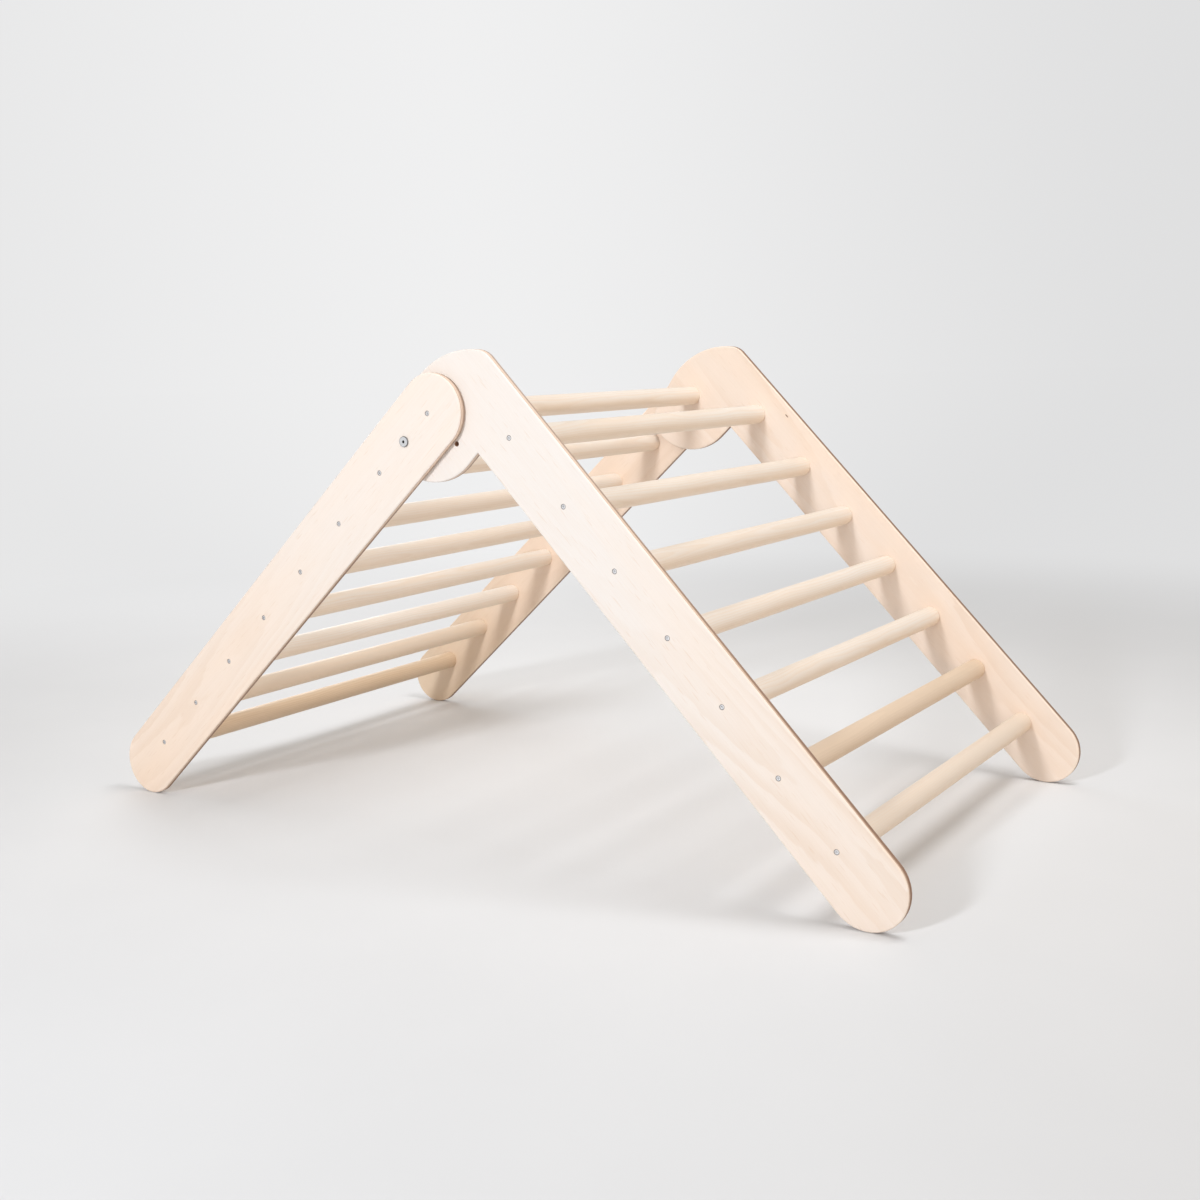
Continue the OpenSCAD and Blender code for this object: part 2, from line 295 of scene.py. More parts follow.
def ply_edge_group():
    """The layers that show on a plywood board's edge.

    Depth goes from 0 to 1 through the board. Shaded goes from 0, pale, to 1, dark: it sets how
    much painted shade the edge gets.
    """
    tree, graph, given, result = new_group(
        "Ply edge",
        [("Depth", FLOAT, 0.0), ("Plies", FLOAT, 7.0), ("Place", VECTOR, None),
         ("Seed", FLOAT, 0.0), ("Shaded", FLOAT, 0.0), ("Veneer", COLOUR, None),
         ("Long", COLOUR, None), ("Cross", COLOUR, None), ("Glue and shade", COLOUR, None)],
        [("Color", COLOUR), ("Edge", FLOAT)])

    def by_shade(pale, dark, clamp=False):
        """A number that goes from pale to dark with the shade."""
        change = graph.math("MULTIPLY", given["Shaded"], dark - pale)
        return graph.math("ADD", pale, change, clamp=clamp)

    layer = graph.math("MULTIPLY", given["Depth"], given["Plies"])
    odd = graph.math("MODULO", graph.math("FLOOR", layer), 2.0)
    speckle = graph.noise(given["Place"], given["Seed"], scale=700.0)
    long_ply = graph.mix(graph.ramp(speckle, 0.3, 0.8, 0.0, 0.35), given["Long"], given["Cross"])
    cross_ply = graph.mix(graph.ramp(speckle, 0.25, 0.75, 0.0, 0.5), given["Cross"],
                          given["Long"])
    plies = graph.mix(odd, long_ply, cross_ply)
    within = graph.math("FRACT", layer)
    from_joint = graph.math("MINIMUM", within, graph.math("SUBTRACT", 1.0, within))
    plies = graph.mix(graph.ramp(from_joint, 0.04, 0.16, 0.35, 0.0), plies, given["Glue and shade"])
    # The glue under the face veneers shows most
    middle_ply = graph.math("MULTIPLY", given["Plies"], 0.5)
    from_face = graph.math("SUBTRACT", middle_ply, graph.math(
        "ABSOLUTE", graph.math("SUBTRACT", layer, middle_ply)))
    plies = graph.mix(graph.ramp(from_face, 1.1, 1.3, 0.8, 0.0), plies, given["Glue and shade"])
    # Painted light: an edge with little painted shade is painted partly in the veneer's pale
    # colour
    plies = graph.mix(by_shade(0.4, -0.2, clamp=True), plies, given["Veneer"])
    # Painted shade: the edge gets darker from one face to the other, where its far side turns
    # away from the light
    far_side = graph.ramp(given["Depth"], by_shade(0.62, 0.02), by_shade(0.84, 0.39))
    plies = graph.mix(graph.math("MULTIPLY", far_side, by_shade(0.50, 0.88)), plies,
                      given["Glue and shade"])
    last = graph.math("SUBTRACT", given["Plies"], 1.0)
    inside = graph.math("MULTIPLY", graph.math("GREATER_THAN", layer, 1.0),
                        graph.math("LESS_THAN", layer, last))
    graph.set(result["Color"], graph.mix(inside, given["Veneer"], plies))
    graph.set(result["Edge"], inside)
    return tree


def handling_group():
    """Soft uneven patches, where hands and cloths have left a surface smoother or duller."""
    tree, graph, given, result = new_group(
        "Handling",
        [("Place", VECTOR, None), ("Seed", FLOAT, 0.0), ("Scale", FLOAT, 14.0),
         ("Low", FLOAT, 0.4), ("High", FLOAT, 0.6)],
        [("Value", FLOAT)])
    patches = graph.noise(given["Place"], given["Seed"], given["Scale"], detail=3.0,
                          roughness=0.6)
    graph.set(result["Value"], graph.ramp(patches, 0.3, 0.7, given["Low"], given["High"]))
    return tree


def new_material(name):
    """An empty material with its graph, its principled shader and the object's coordinates."""
    material = bpy.data.materials.new(name)
    material.use_nodes = True
    tree = material.node_tree
    tree.nodes.clear()
    graph = Graph(tree)
    place = graph.node("ShaderNodeTexCoord", {}).outputs["Object"]
    shader = graph.node("ShaderNodeBsdfPrincipled", {})
    graph.node("ShaderNodeOutputMaterial", {"Surface": shader.outputs[0]})
    return material, graph, shader, place


def use_group(graph, tree, inputs):
    made = graph.node("ShaderNodeGroup", {}, node_tree=tree)
    for key, value in inputs.items():
        graph.set(made.inputs[key], value)
    return made.outputs


def turned_place(graph, place, leg):
    """Coordinates from the pivot, with X along a leg."""
    angle = lean(leg)
    turn = Matrix.Rotation(angle, 3, "Y")
    mapping = graph.node("ShaderNodeMapping", {0: place, "Location": -(turn @ PIVOT),
                                               "Rotation": (0.0, angle, 0.0)})
    return mapping.outputs[0]


def distance_to(graph, place, x, z, stretch=1.0):
    """Distance across the board from a point, with a stretch along the grain."""
    parts = graph.split(place)
    along = graph.math("DIVIDE", graph.math("SUBTRACT", parts[0], x), stretch)
    across = graph.math("SUBTRACT", parts[2], z)
    return graph.length(along, across)


def bump(graph, height, strength, distance):
    return graph.node("ShaderNodeBump", {"Height": height, "Strength": strength,
                                         "Distance": distance}).outputs[0]


def darken(graph, shader, share, colour):
    """Mixes a share of a colour over the base colour that a shader has so far."""
    base = shader.inputs["Base Color"]
    graph.set(base, graph.mix(share, base.links[0].from_socket, colour))


def set_wood_surface(graph, shader, colour, rough, fibres, fibre_strength):
    graph.set(shader.inputs["Base Color"], colour)
    graph.set(shader.inputs["Roughness"], rough)
    graph.set(shader.inputs["Normal"], bump(graph, fibres, fibre_strength, 0.2 * MM))
    shader.inputs["Specular IOR Level"].default_value = 0.35


# --- Meshes ----------------------------------------------------------------------------------

# Points that are closer than this are one
WELD = 0.01 * MM
# A face whose normal has at least this share along an axis is square to it
FLAT = 0.999
# A face whose normal has at most this share along an axis runs along it
UPRIGHT = 0.1
# Flat areas that meet at a smaller angle than this are one
SAME_PLANE = math.radians(0.5)
# Edges sharper than this stay sharp
SHARP = math.radians(35.0)


def deselect_all():
    bpy.ops.object.select_all(action="DESELECT")


def make_active(piece):
    deselect_all()
    piece.select_set(True)
    bpy.context.view_layer.objects.active = piece


def copy_of_node(node, name):
    """A visible piece that starts as a welded copy of a CAD node's mesh."""
    piece = bpy.data.objects.new(name, NODES[node].data.copy())
    bpy.context.scene.collection.objects.link(piece)
    piece.data.name = name
    piece.data.materials.clear()
    make_active(piece)
    bpy.ops.mesh.customdata_custom_splitnormals_clear()
    bpy.ops.object.mode_set(mode="EDIT")
    bpy.ops.mesh.select_all(action="SELECT")
    bpy.ops.mesh.remove_doubles(threshold=WELD)
    bpy.ops.mesh.dissolve_limited(angle_limit=SAME_PLANE)
    bpy.ops.object.mode_set(mode="OBJECT")
    return piece


def select_parts(piece, kind, wanted):
    """Selects the edges or faces that a test picks, in edit mode. Returns how many there are."""
    bpy.ops.mesh.select_mode(type=kind)
    bpy.ops.mesh.select_all(action="DESELECT")
    mesh = bmesh.from_edit_mesh(piece.data)
    picked = [part for part in (mesh.edges if kind == "EDGE" else mesh.faces) if wanted(part)]
    for part in picked:
        part.select_set(True)
    bmesh.update_edit_mesh(piece.data)
    return len(picked)


def select_edges(piece, wanted):
    return select_parts(piece, "EDGE", wanted)


def select_faces(piece, wanted):
    return select_parts(piece, "FACE", wanted)


def edge_middle(edge):
    return (edge.verts[0].co + edge.verts[1].co) / 2


def is_rim(edge):
    """Whether an edge lies between a flat side face and the wall around it."""
    if len(edge.link_faces) != 2:
        return False
    ways = sorted(abs(face.normal.y) for face in edge.link_faces)
    return ways[0] < UPRIGHT and ways[1] > FLAT


def smooth_piece(piece):
    make_active(piece)
    bpy.ops.object.shade_smooth_by_angle(angle=SHARP, keep_sharp_edges=False)
    bpy.ops.object.modifier_add(type="WEIGHTED_NORMAL")
    piece.modifiers[-1].keep_sharp = True
    bpy.ops.object.modifier_apply(modifier=piece.modifiers[-1].name)


def apply_place(piece):
    make_active(piece)
    bpy.ops.object.transform_apply(location=True, rotation=True, scale=True)


def give_material(piece, material):
    piece.data.materials.clear()
    piece.data.materials.append(material)


def finish_piece(piece, body, material, node):
    """Gives a piece its material and its body, and hides the node that it stands for."""
    give_material(piece, material)
    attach(piece, body)
    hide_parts(node)


def need(test, message):
    if not test:
        raise RuntimeError(message)


# --- Side boards -----------------------------------------------------------------------------

# How far from its middle the wall of a lock hole gets painted shade
HOLE_SHADE_RADIUS = 3.7 * MM
# Painted shade in the gap around a screw head fades between these distances from the screw's
# middle
SCREW_RIM = (4.2 * MM, 3.7 * MM)
# Edges further than this from a hole's middle belong to the board's outline
OUTLINE_FROM_HOLE = 20 * MM
# Edges closer than this to a lock hole's middle belong to its rim
LOCK_RIM_REACH = 4 * MM
# The rungs from the first to the second of these numbers stand evenly along a leg
EVEN_RUNGS = (2, 7)


def lock_holes(frame_name):
    """The middles of a board's lock holes. Only an inner board has one for folding."""
    bolt = middle("lock_bolt_left")
    return (bolt, FOLDED_HOLE) if frame_name == "inner" else (bolt,)


def board_holes(frame_name):
    """The middles of all holes in a board of one frame."""
    rungs = [middle(f"{frame_name}_rung_{n}") for n in RUNG_NUMBERS]
    return [*rungs, PIVOT, *lock_holes(frame_name)]


def lock_hole_mask(graph, place, leg, frame_name):
    """1 on the wall of the lock holes, which gets painted shade."""
    mask = 0.0
    for hole in lock_holes(frame_name):
        spot = along_leg(hole, leg)
        away = distance_to(graph, place, spot.x, spot.z)
        mask = graph.math("MAXIMUM", mask, graph.math("LESS_THAN", away, HOLE_SHADE_RADIUS))
    return mask


def from_screw(graph, place, leg, frame_name):
    """Distance across a board from the nearest screw. Place has X along the leg."""
    first, last = (along_leg(middle(f"{frame_name}_rung_{n}"), leg) for n in EVEN_RUNGS)
    most_steps = float(EVEN_RUNGS[1] - EVEN_RUNGS[0])
    pitch = (last.x - first.x) / most_steps
    steps = graph.math("ROUND", graph.math(
        "DIVIDE", graph.math("SUBTRACT", graph.split(place)[0], first.x), pitch))
    steps = graph.math("MINIMUM", graph.math("MAXIMUM", steps, 0.0), most_steps)
    nearest = graph.math("ADD", graph.math("MULTIPLY", steps, pitch), first.x)
    away = distance_to(graph, place, nearest, first.z)
    for hole in (middle(frame_name + "_rung_1"), PIVOT):
        spot = along_leg(hole, leg)
        away = graph.math("MINIMUM", away, distance_to(graph, place, spot.x, spot.z))
    return away


class BoardLook:
    """How one board differs from the others.

    Warmth, figure and painted shade each hold the share at the head and at the foot. Warmth is
    partly the veneer's own tone and partly painted light. Painted shade darkens a board towards
    its foot. Edge holds the painted shade of the board's edge at both ends, and the distance
    along the leg of the second one. Knot is the place of a knot along and across the leg.
    """

    def __init__(self, seed, warmth, figure, painted_shade, edge, knot=None):
        self.seed = seed
        self.warmth = warmth
        self.figure = figure
        self.painted_shade = painted_shade
        self.edge = edge
        self.knot = knot


# How far along the leg a board's edge shade, its wood and its painted shade start to change, and
# the last two end
EDGE_START = 0.05
LOOK_START = 0.2
SHADE_START = 0.4
LOOK_END = 0.9
# The small knot on the inner face of the far inner board
KNOT = (154.2 * MM, 109.6 * MM)
KNOT_RADIUS = 1.5 * MM
KNOT_STRETCH = 3.2
BOARD_LOOKS = {
    "inner_board_left": BoardLook(1.7, (0.0, 0.45), (0.04, 0.24), (0.0, 0.0), (0.28, 0.85, 0.85)),
    "inner_board_right": BoardLook(4.2, (0.60, 0.64), (0.26, 0.16), (0.0, 0.0), (0.88, 0.9, 0.85),
                                    KNOT),
    "outer_board_left": BoardLook(8.9, (0.30, 0.85), (0.10, 0.20), (0.0, 0.0), (0.3, 0.62, 0.3)),
    "outer_board_right": BoardLook(12.4, (0.9, 1.0), (0.2, 0.2), (0.0, 1.0), (0.8, 0.9, 0.85)),
}


def veneer_colour(graph, place, figure, look, settings):
    """The face veneer of one board, with its flames, fibres and pores."""
    along = graph.split(place)[0]
    # Warmth is partly the veneers' own tone and partly painted light: paler at the near boards'
    # heads where the light is brightest, warmer on boards with less light
    warmth = graph.ramp(along, LOOK_START, LOOK_END, *look.warmth)
    patchy = graph.math("ADD", warmth, graph.ramp(figure["Patches"], 0.3, 0.75, -0.08, 0.16),
                        clamp=True)
    colour = graph.mix(patchy, settings.veneer, settings.warm_veneer)
    # Painted shade: the far outer board gets darker towards its foot
    painted_shade = graph.ramp(along, SHADE_START, LOOK_END, *look.painted_shade)
    colour = graph.mix(painted_shade, colour, settings.painted_shade_veneer)
    lively = graph.ramp(along, LOOK_START, LOOK_END, *look.figure)
    flames = graph.math("MULTIPLY", figure["Lines"], lively)
    fibres = graph.ramp(figure["Fibres"], 0.35, 0.8, 0.0, 0.10)
    flecks = graph.math("MULTIPLY", figure["Flecks"], 0.22)
    for share in (flames, fibres, flecks):
        colour = graph.mix(share, colour, settings.grain_line)
    return colour


def add_knot(graph, place, across, face, colour, look, settings):
    """A knot with a warm halo. Its dark heart shows only on the face at the given place."""
    away = distance_to(graph, place, *look.knot, stretch=KNOT_STRETCH)
    halo = graph.ramp(away, KNOT_RADIUS, 3.5 * KNOT_RADIUS, 0.35, 0.0)
    colour = graph.mix(halo, colour, settings.warm_veneer)
    heart = graph.ramp(away, 0.5 * KNOT_RADIUS, KNOT_RADIUS, 0.9, 0.0)
    at_face = graph.math("LESS_THAN", across, face + 0.2 * MM)
    return graph.mix(graph.math("MULTIPLY", heart, at_face), colour, settings.glue_and_shade)


def board_material(node, leg, frame_name, settings, groups):
    look = BOARD_LOOKS[node]
    low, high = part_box(node)
    material, graph, shader, object_place = new_material(node + "_birch")
    place = turned_place(graph, object_place, leg)
    across = graph.split(object_place)[1]
    figure = use_group(graph, groups["figure"], {"Place": place, "Seed": look.seed})
    veneer = veneer_colour(graph, place, figure, look, settings)
    if look.knot:
        veneer = add_knot(graph, place, across, low.y, veneer, look, settings)
    # Painted shade on the edges, darker towards a board's foot and on the far boards
    pale, dark, dark_from = look.edge
    shaded = graph.ramp(graph.split(place)[0], EDGE_START, dark_from, pale, dark)
    depth = graph.math("DIVIDE", graph.math("SUBTRACT", across, low.y), high.y - low.y)
    edge = use_group(graph, groups["ply"], {
        "Depth": depth, "Plies": float(settings.ply_count), "Place": place, "Seed": look.seed,
        "Shaded": shaded, "Veneer": veneer, "Long": settings.long_ply,
        "Cross": settings.cross_ply, "Glue and shade": settings.glue_and_shade})
    # Painted shade on the walls of the lock holes
    hole_shade_share = graph.math("MULTIPLY", lock_hole_mask(graph, place, leg, frame_name), 0.85)
    colour = graph.mix(hole_shade_share, edge["Color"], settings.hole_shade_colour)
    # Painted shade in the gap around each screw head
    rim = graph.ramp(from_screw(graph, place, leg, frame_name), *SCREW_RIM, 0.0, 0.3)
    colour = graph.mix(rim, colour, settings.glue_and_shade)
    handled = use_group(graph, groups["handling"], {
        "Place": place, "Seed": look.seed, "Low": 0.50, "High": 0.64})
    rough = graph.math("ADD", handled["Value"], graph.math("MULTIPLY", edge["Edge"], 0.15))
    set_wood_surface(graph, shader, colour, rough, figure["Fibres"], 0.12)
    return material


def make_board(node, leg, frame_name, settings, groups):
    piece = copy_of_node(node, node + "_panel")

    def from_holes(edge, holes):
        return min((edge_middle(edge) - hole).xz.length for hole in holes)

    def round_rims(wanted, radius, segments, message):
        found = select_edges(piece, lambda edge: is_rim(edge) and wanted(edge))
        need(found, f"{node} has no {message}")
        # Without loop_slide, because it leaves slivers in the flat sides
        bpy.ops.mesh.bevel(offset=radius, segments=segments, profile=0.5, affect="EDGES",
                           loop_slide=False)

    all_holes = board_holes(frame_name)
    locks = lock_holes(frame_name)
    bpy.ops.object.mode_set(mode="EDIT")
    round_rims(lambda edge: from_holes(edge, all_holes) > OUTLINE_FROM_HOLE,
               settings.edge_round, 6, "outline to round")
    round_rims(lambda edge: from_holes(edge, locks) < LOCK_RIM_REACH,
               settings.hole_round, 3, "lock hole")
    bpy.ops.object.mode_set(mode="OBJECT")
    smooth_piece(piece)
    material = board_material(node, leg, frame_name, settings, groups)
    finish_piece(piece, frame_name + "_frame", material, node)


# --- Rungs -----------------------------------------------------------------------------------

RUNG_SIDES = 72
# How brown the darker rungs are; the others are pale. This is partly the rungs' own tone and
# partly painted shade on the lowest rungs
RUNG_TONES = {"outer_rung_4": 0.05, "outer_rung_6": 0.5, "outer_rung_7": 1.0,
              "inner_rung_6": 0.75, "inner_rung_7": 0.3}
RING_WIDTH = 3.1 * MM
RING_DRIFT = 22 * MM
PITH_DISTANCE = 45 * MM
# By how much the pith turns, in radians, and the seed grows from one rung to the next
PITH_TURN = 1.9
SEED_STEP = 2.3


def rung_material(node, number, settings, groups):
    """Solid birch: growth rings around a pith that lies outside the rung."""
    material, graph, shader, object_place = new_material(node + "_birch")
    seed = SEED_STEP * number
    turn = Matrix.Rotation(PITH_TURN * number, 3, "Y")
    pith = middle(node) + turn @ Vector((PITH_DISTANCE, 0.0, 0.0))
    centred = graph.node("ShaderNodeMapping", {0: object_place, "Location": -pith}).outputs[0]
    x, y, z = graph.split(centred)
    drift = graph.noise(graph.vector("MULTIPLY", centred, (1.0, 0.35, 1.0)), seed, scale=9.0)
    bent = graph.math("ADD", graph.length(x, z), graph.math("MULTIPLY", drift, RING_DRIFT))
    ring = graph.math("FRACT", graph.math("MULTIPLY", bent, 1 / RING_WIDTH))
    late = graph.math("MULTIPLY", graph.ramp(ring, 0.25, 0.9), graph.ramp(ring, 1.0, 0.9))
    along = graph.join(y, x, z)
    figure = use_group(graph, groups["figure"], {"Place": along, "Seed": seed})
    # Painted warm bounce light: each rung's underside is painted warmer
    height = graph.math("SUBTRACT", graph.split(object_place)[2], middle(node).z)
    uneven = graph.math("ADD", graph.math("DIVIDE", height, RUNG_RADIUS),
                        graph.math("MULTIPLY", drift, 0.6))
    heart = graph.ramp(uneven, 0.7, -0.3, 0.0, 0.9)
    wood = graph.mix(heart, settings.early_wood, settings.underside_bounce)
    wood = graph.mix(RUNG_TONES.get(node, 0.0), wood, settings.brown_wood)
    for share in (graph.math("MULTIPLY", late, 0.36),
                  graph.ramp(figure["Patches"], 0.35, 0.7, 0.0, 0.34),
                  graph.ramp(figure["Fibres"], 0.3, 0.8, 0.0, 0.22),
                  graph.math("MULTIPLY", figure["Flecks"], 0.25)):
        wood = graph.mix(share, wood, settings.late_wood)
    handled = use_group(graph, groups["handling"], {
        "Place": along, "Seed": seed, "Scale": 9.0, "Low": 0.36, "High": 0.5})
    set_wood_surface(graph, shader, wood, handled["Value"], figure["Fibres"], 0.15)
    return material


def make_rung_mesh(name, length, settings):
    """A round bar along Y about the origin, with softened ends and a screw hole in each."""
    deselect_all()
    bpy.ops.mesh.primitive_cylinder_add(vertices=RUNG_SIDES, radius=RUNG_RADIUS, depth=length,
                                        end_fill_type="NGON", rotation=(math.pi / 2, 0, 0))
    piece = bpy.context.active_object
    piece.name = name
    apply_place(piece)
    bpy.ops.object.mode_set(mode="EDIT")
    select_edges(piece, is_rim)
    bpy.ops.mesh.bevel(offset=settings.end_round, segments=3, profile=0.5, affect="EDGES")
    flat_radius = RUNG_RADIUS - settings.end_round
    for way in (-1, 1):
        select_faces(piece, lambda face: face.normal.y * way > FLAT)
        bpy.ops.mesh.inset(thickness=flat_radius - settings.pilot_radius, depth=0)
        bpy.ops.mesh.extrude_region_move(
            TRANSFORM_OT_translate={"value": (0, -way * settings.pilot_depth, 0)})
    bpy.ops.object.mode_set(mode="OBJECT")
    return piece


def make_rungs(frame_name, nodes, first_number, settings, groups):
    low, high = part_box(nodes[0])
    model = make_rung_mesh(frame_name + "_rung_model", high.y - low.y, settings)
    smooth_piece(model)
    for number, node in enumerate(nodes, first_number):
        piece = bpy.data.objects.new(node + "_dowel", model.data.copy())
        bpy.context.scene.collection.objects.link(piece)
        piece.location = middle(node)
        apply_place(piece)
        material = rung_material(node, number, settings, groups)
        finish_piece(piece, frame_name + "_frame", material, node)
    bpy.data.objects.remove(model)


# --- Fittings --------------------------------------------------------------------------------

HEAD_SIDES = 64
BORE_SIDES = 48
HEX_SIDES = 6
# How far a cutting tool reaches past what it cuts
TOOL_OVERHANG = 1 * MM
TIP_ROUND = 0.3 * MM
SOCKET_ROUND = 0.2 * MM


def metal_material(name, colour, low, high, groups):
    """Zinc with worn spots. Its roughness goes from low to high."""
    material, graph, shader, place = new_material(name)
    spots = use_group(graph, groups["handling"], {
        "Place": place, "Seed": 2.0, "Scale": 420.0, "Low": low, "High": high})
    worn = use_group(graph, groups["handling"], {
        "Place": place, "Seed": 6.0, "Scale": 180.0, "Low": 0.0, "High": 0.25})
    dull = [0.72 * part for part in colour]
    graph.set(shader.inputs["Base Color"], graph.mix(worn["Value"], colour, dull))
    graph.set(shader.inputs["Roughness"], spots["Value"])
    graph.set(shader.inputs["Normal"], bump(graph, spots["Value"], 0.1, 0.05 * MM))
    shader.inputs["Metallic"].default_value = 1.0
    return material, graph, shader, place


def screw_material(frame_name, leg, settings, groups):
    """Zinc with painted shade: dark at the rim of each head and darker in its drive."""
    material, graph, shader, object_place = metal_material(
        frame_name + "_zinc_screw", settings.zinc, 0.28, 0.46, groups)
    place = turned_place(graph, object_place, leg)
    away = from_screw(graph, place, leg, frame_name)
    rim = graph.ramp(away, 2.5 * MM, 3.1 * MM, 0.0, 0.8)
    face = -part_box(frame_name + "_screws_left")[0].y
    sunk = graph.math("SUBTRACT", face, graph.math("ABSOLUTE", graph.split(object_place)[1]))
    drive = graph.ramp(sunk, 0.1 * MM, 0.5 * MM, 0.0, 0.25)
    darken(graph, shader, graph.math("MAXIMUM", rim, drive), settings.shaded_zinc)
    return material


def lock_metal_material(settings, groups):
    """Bright zinc, with painted shade in the socket and a thin ring of painted shade at the rim
    of the head.
    """
    material, graph, shader, place = metal_material("bright_lock_metal", settings.bright_zinc,
                                                    0.16, 0.3, groups)
    low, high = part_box("lock_bolt_left")
    head_radius = (high.x - low.x) / 2
    bolt = middle("lock_bolt_left")
    away = distance_to(graph, place, bolt.x, bolt.z)
    socket = graph.ramp(away, 2.3 * MM, 2.0 * MM, 0.0, 0.8)
    rim = graph.ramp(away, head_radius - 0.9 * MM, head_radius - 0.5 * MM, 0.0, 0.8)
    darken(graph, shader, graph.math("MAXIMUM", socket, rim), settings.shaded_zinc)
    return material


def cut(piece, tool):
    """Cuts a tool's shape out of a piece and removes the tool."""
    make_active(piece)
    bpy.ops.object.modifier_add(type="BOOLEAN")
    modifier = piece.modifiers[-1]
    modifier.operation = "DIFFERENCE"
    modifier.solver = "EXACT"
    modifier.object = tool
    bpy.ops.object.modifier_apply(modifier=modifier.name)
    bpy.data.objects.remove(tool)


def upright_bar(radius, low, high, sides):
    """A bar along Z through the origin, from which a piece or a cutting tool is made."""
    deselect_all()
    bpy.ops.mesh.primitive_cylinder_add(vertices=sides, radius=radius, depth=high - low,
                                        location=(0, 0, (low + high) / 2))
    bar = bpy.context.active_object
    apply_place(bar)
    return bar


def make_lock_piece(node, shank_radius, bore_radius, settings, material):
    """A flat round head with a rounded rim, a hex socket and a shank, all along +Z first."""
    low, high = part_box(node)
    head_radius = (high.x - low.x) / 2
    head = settings.head_height
    shank = high.y - low.y - head
    outwards = -1 if "left" in node else 1
    if "nut" in node:
        outwards = -outwards
    piece = upright_bar(head_radius, 0.0, head, HEAD_SIDES)
    piece.name = node + "_turned"
    bpy.ops.object.mode_set(mode="EDIT")
    select_edges(piece, lambda edge: edge_middle(edge).z > head - WELD)
    bpy.ops.mesh.bevel(offset=settings.rim_round, segments=5, profile=0.6, affect="EDGES")
    select_faces(piece, lambda face: face.normal.z < -FLAT)
    bpy.ops.mesh.inset(thickness=head_radius - shank_radius, depth=0)
    bpy.ops.mesh.extrude_region_move(TRANSFORM_OT_translate={"value": (0, 0, -shank)})
    select_edges(piece, lambda edge: edge_middle(edge).z < WELD - shank)
    bpy.ops.mesh.bevel(offset=TIP_ROUND, segments=2, profile=0.5, affect="EDGES")
    bpy.ops.object.mode_set(mode="OBJECT")
    socket_radius = settings.socket_width / 2 / math.cos(math.pi / HEX_SIDES)
    cut(piece, upright_bar(socket_radius, head - settings.socket_depth, head + TOOL_OVERHANG,
                           HEX_SIDES))
    if bore_radius:
        cut(piece, upright_bar(bore_radius, -shank - TOOL_OVERHANG, -settings.socket_depth,
                               BORE_SIDES))
    bpy.ops.object.mode_set(mode="EDIT")
    select_edges(piece, lambda edge: edge_middle(edge).z > head - WELD and
                 edge_middle(edge).xy.length < socket_radius + WELD)
    bpy.ops.mesh.bevel(offset=SOCKET_ROUND, segments=2, profile=0.5, affect="EDGES")
    bpy.ops.object.mode_set(mode="OBJECT")
    seat = high.y - head if outwards > 0 else low.y + head
    piece.rotation_euler = (-outwards * math.pi / 2, 0, 0)
    piece.location = (middle(node).x, seat, middle(node).z)
    apply_place(piece)
    smooth_piece(piece)
    finish_piece(piece, node, material, node)


# --- Stage -----------------------------------------------------------------------------------

# The way along which the background is palest in the middle and gets darker to both ends, as
# painted shade
BACKDROP_SIDE = Vector((0.834, 0.551, 0.0))
SENSOR_WIDTH = 36.0
FLOOR_RADIUS = 60.0
# The floor changes its colour up to this distance from this place behind the object: further out
# it is painted darker, as painted shade
FLOOR_MIDDLE = Vector((-0.3, 0.6, 0.0))
FLOOR_REACH = 2.2
# The floor passes into the background between these distances from the object
FLOOR_FADE = (0.8, 3.2)
WORLD_COLOUR = (1.0, 0.93, 0.85)
WORLD_STRENGTH = 0.56
WHITE = (1.0, 1.0, 1.0)
# All lamps point at this place. Each has its own place, width, power in watts and colour
LAMP_TARGET = Vector((0.0, 0.0, 0.3))
SOFTBOXES = {
    "front_softbox": (Vector((0.1, -3.4, 1.63)), 0.45, 57.5, (0.97, 1.0, 1.03)),
    "right_softbox": (Vector((1.14, 0.0, 2.86)), 1.2, 33.0, WHITE),
    "low_softbox": (Vector((3.0, -0.7, 0.55)), 1.4, 10.0, (1.0, 0.80, 0.60)),
    "back_softbox": (Vector((-2.47, 1.43, 1.23)), 1.8, 19.0, WHITE),
}


def background_colour(graph, way, settings):
    """Palest in one direction and darker to both sides of it, as painted shade. Way is a unit
    vector.
    """
    aside = graph.node("ShaderNodeVectorMath", {0: way, 1: BACKDROP_SIDE},
                       operation="DOT_PRODUCT").outputs["Value"]
    right = graph.ramp(aside, -0.10, 0.42, 0.0, 0.95)
    left = graph.ramp(aside, -0.06, -0.50, 0.0, 0.55)
    return graph.mix(graph.math("MAXIMUM", right, left), settings.background,
                     settings.side_background)


def floor_material(settings):
    """A matt floor that takes the shadows, and passes into the background further out."""
    material, graph, shader, place = new_material("studio_floor")
    x, y = graph.split(place)[:2]
    from_middle = graph.length(graph.math("SUBTRACT", x, FLOOR_MIDDLE.x),
                               graph.math("SUBTRACT", y, FLOOR_MIDDLE.y))
    forward = graph.ramp(from_middle, 0.0, FLOOR_REACH)
    cloudy = graph.ramp(graph.noise(place, 0.0, scale=3.0), 0.3, 0.7, -0.03, 0.03)
    graph.set(shader.inputs["Base Color"], graph.mix(
        graph.math("ADD", forward, cloudy, clamp=True), settings.floor, settings.near_floor))
    shader.inputs["Roughness"].default_value = 0.9
    shader.inputs["Specular IOR Level"].default_value = 0.1
    way = graph.node("ShaderNodeVectorMath", {0: place}, operation="NORMALIZE").outputs[0]
    glow = graph.node("ShaderNodeEmission", {"Color": background_colour(graph, way, settings)})
    fade = graph.ramp(graph.length(x, y), *FLOOR_FADE)
    far = graph.node("ShaderNodeMixShader", {0: fade, 1: shader.outputs[0],
                                             2: glow.outputs[0]})
    leave = next(node for node in graph.tree.nodes if node.type == "OUTPUT_MATERIAL")
    graph.set(leave.inputs["Surface"], far.outputs[0])
    return material


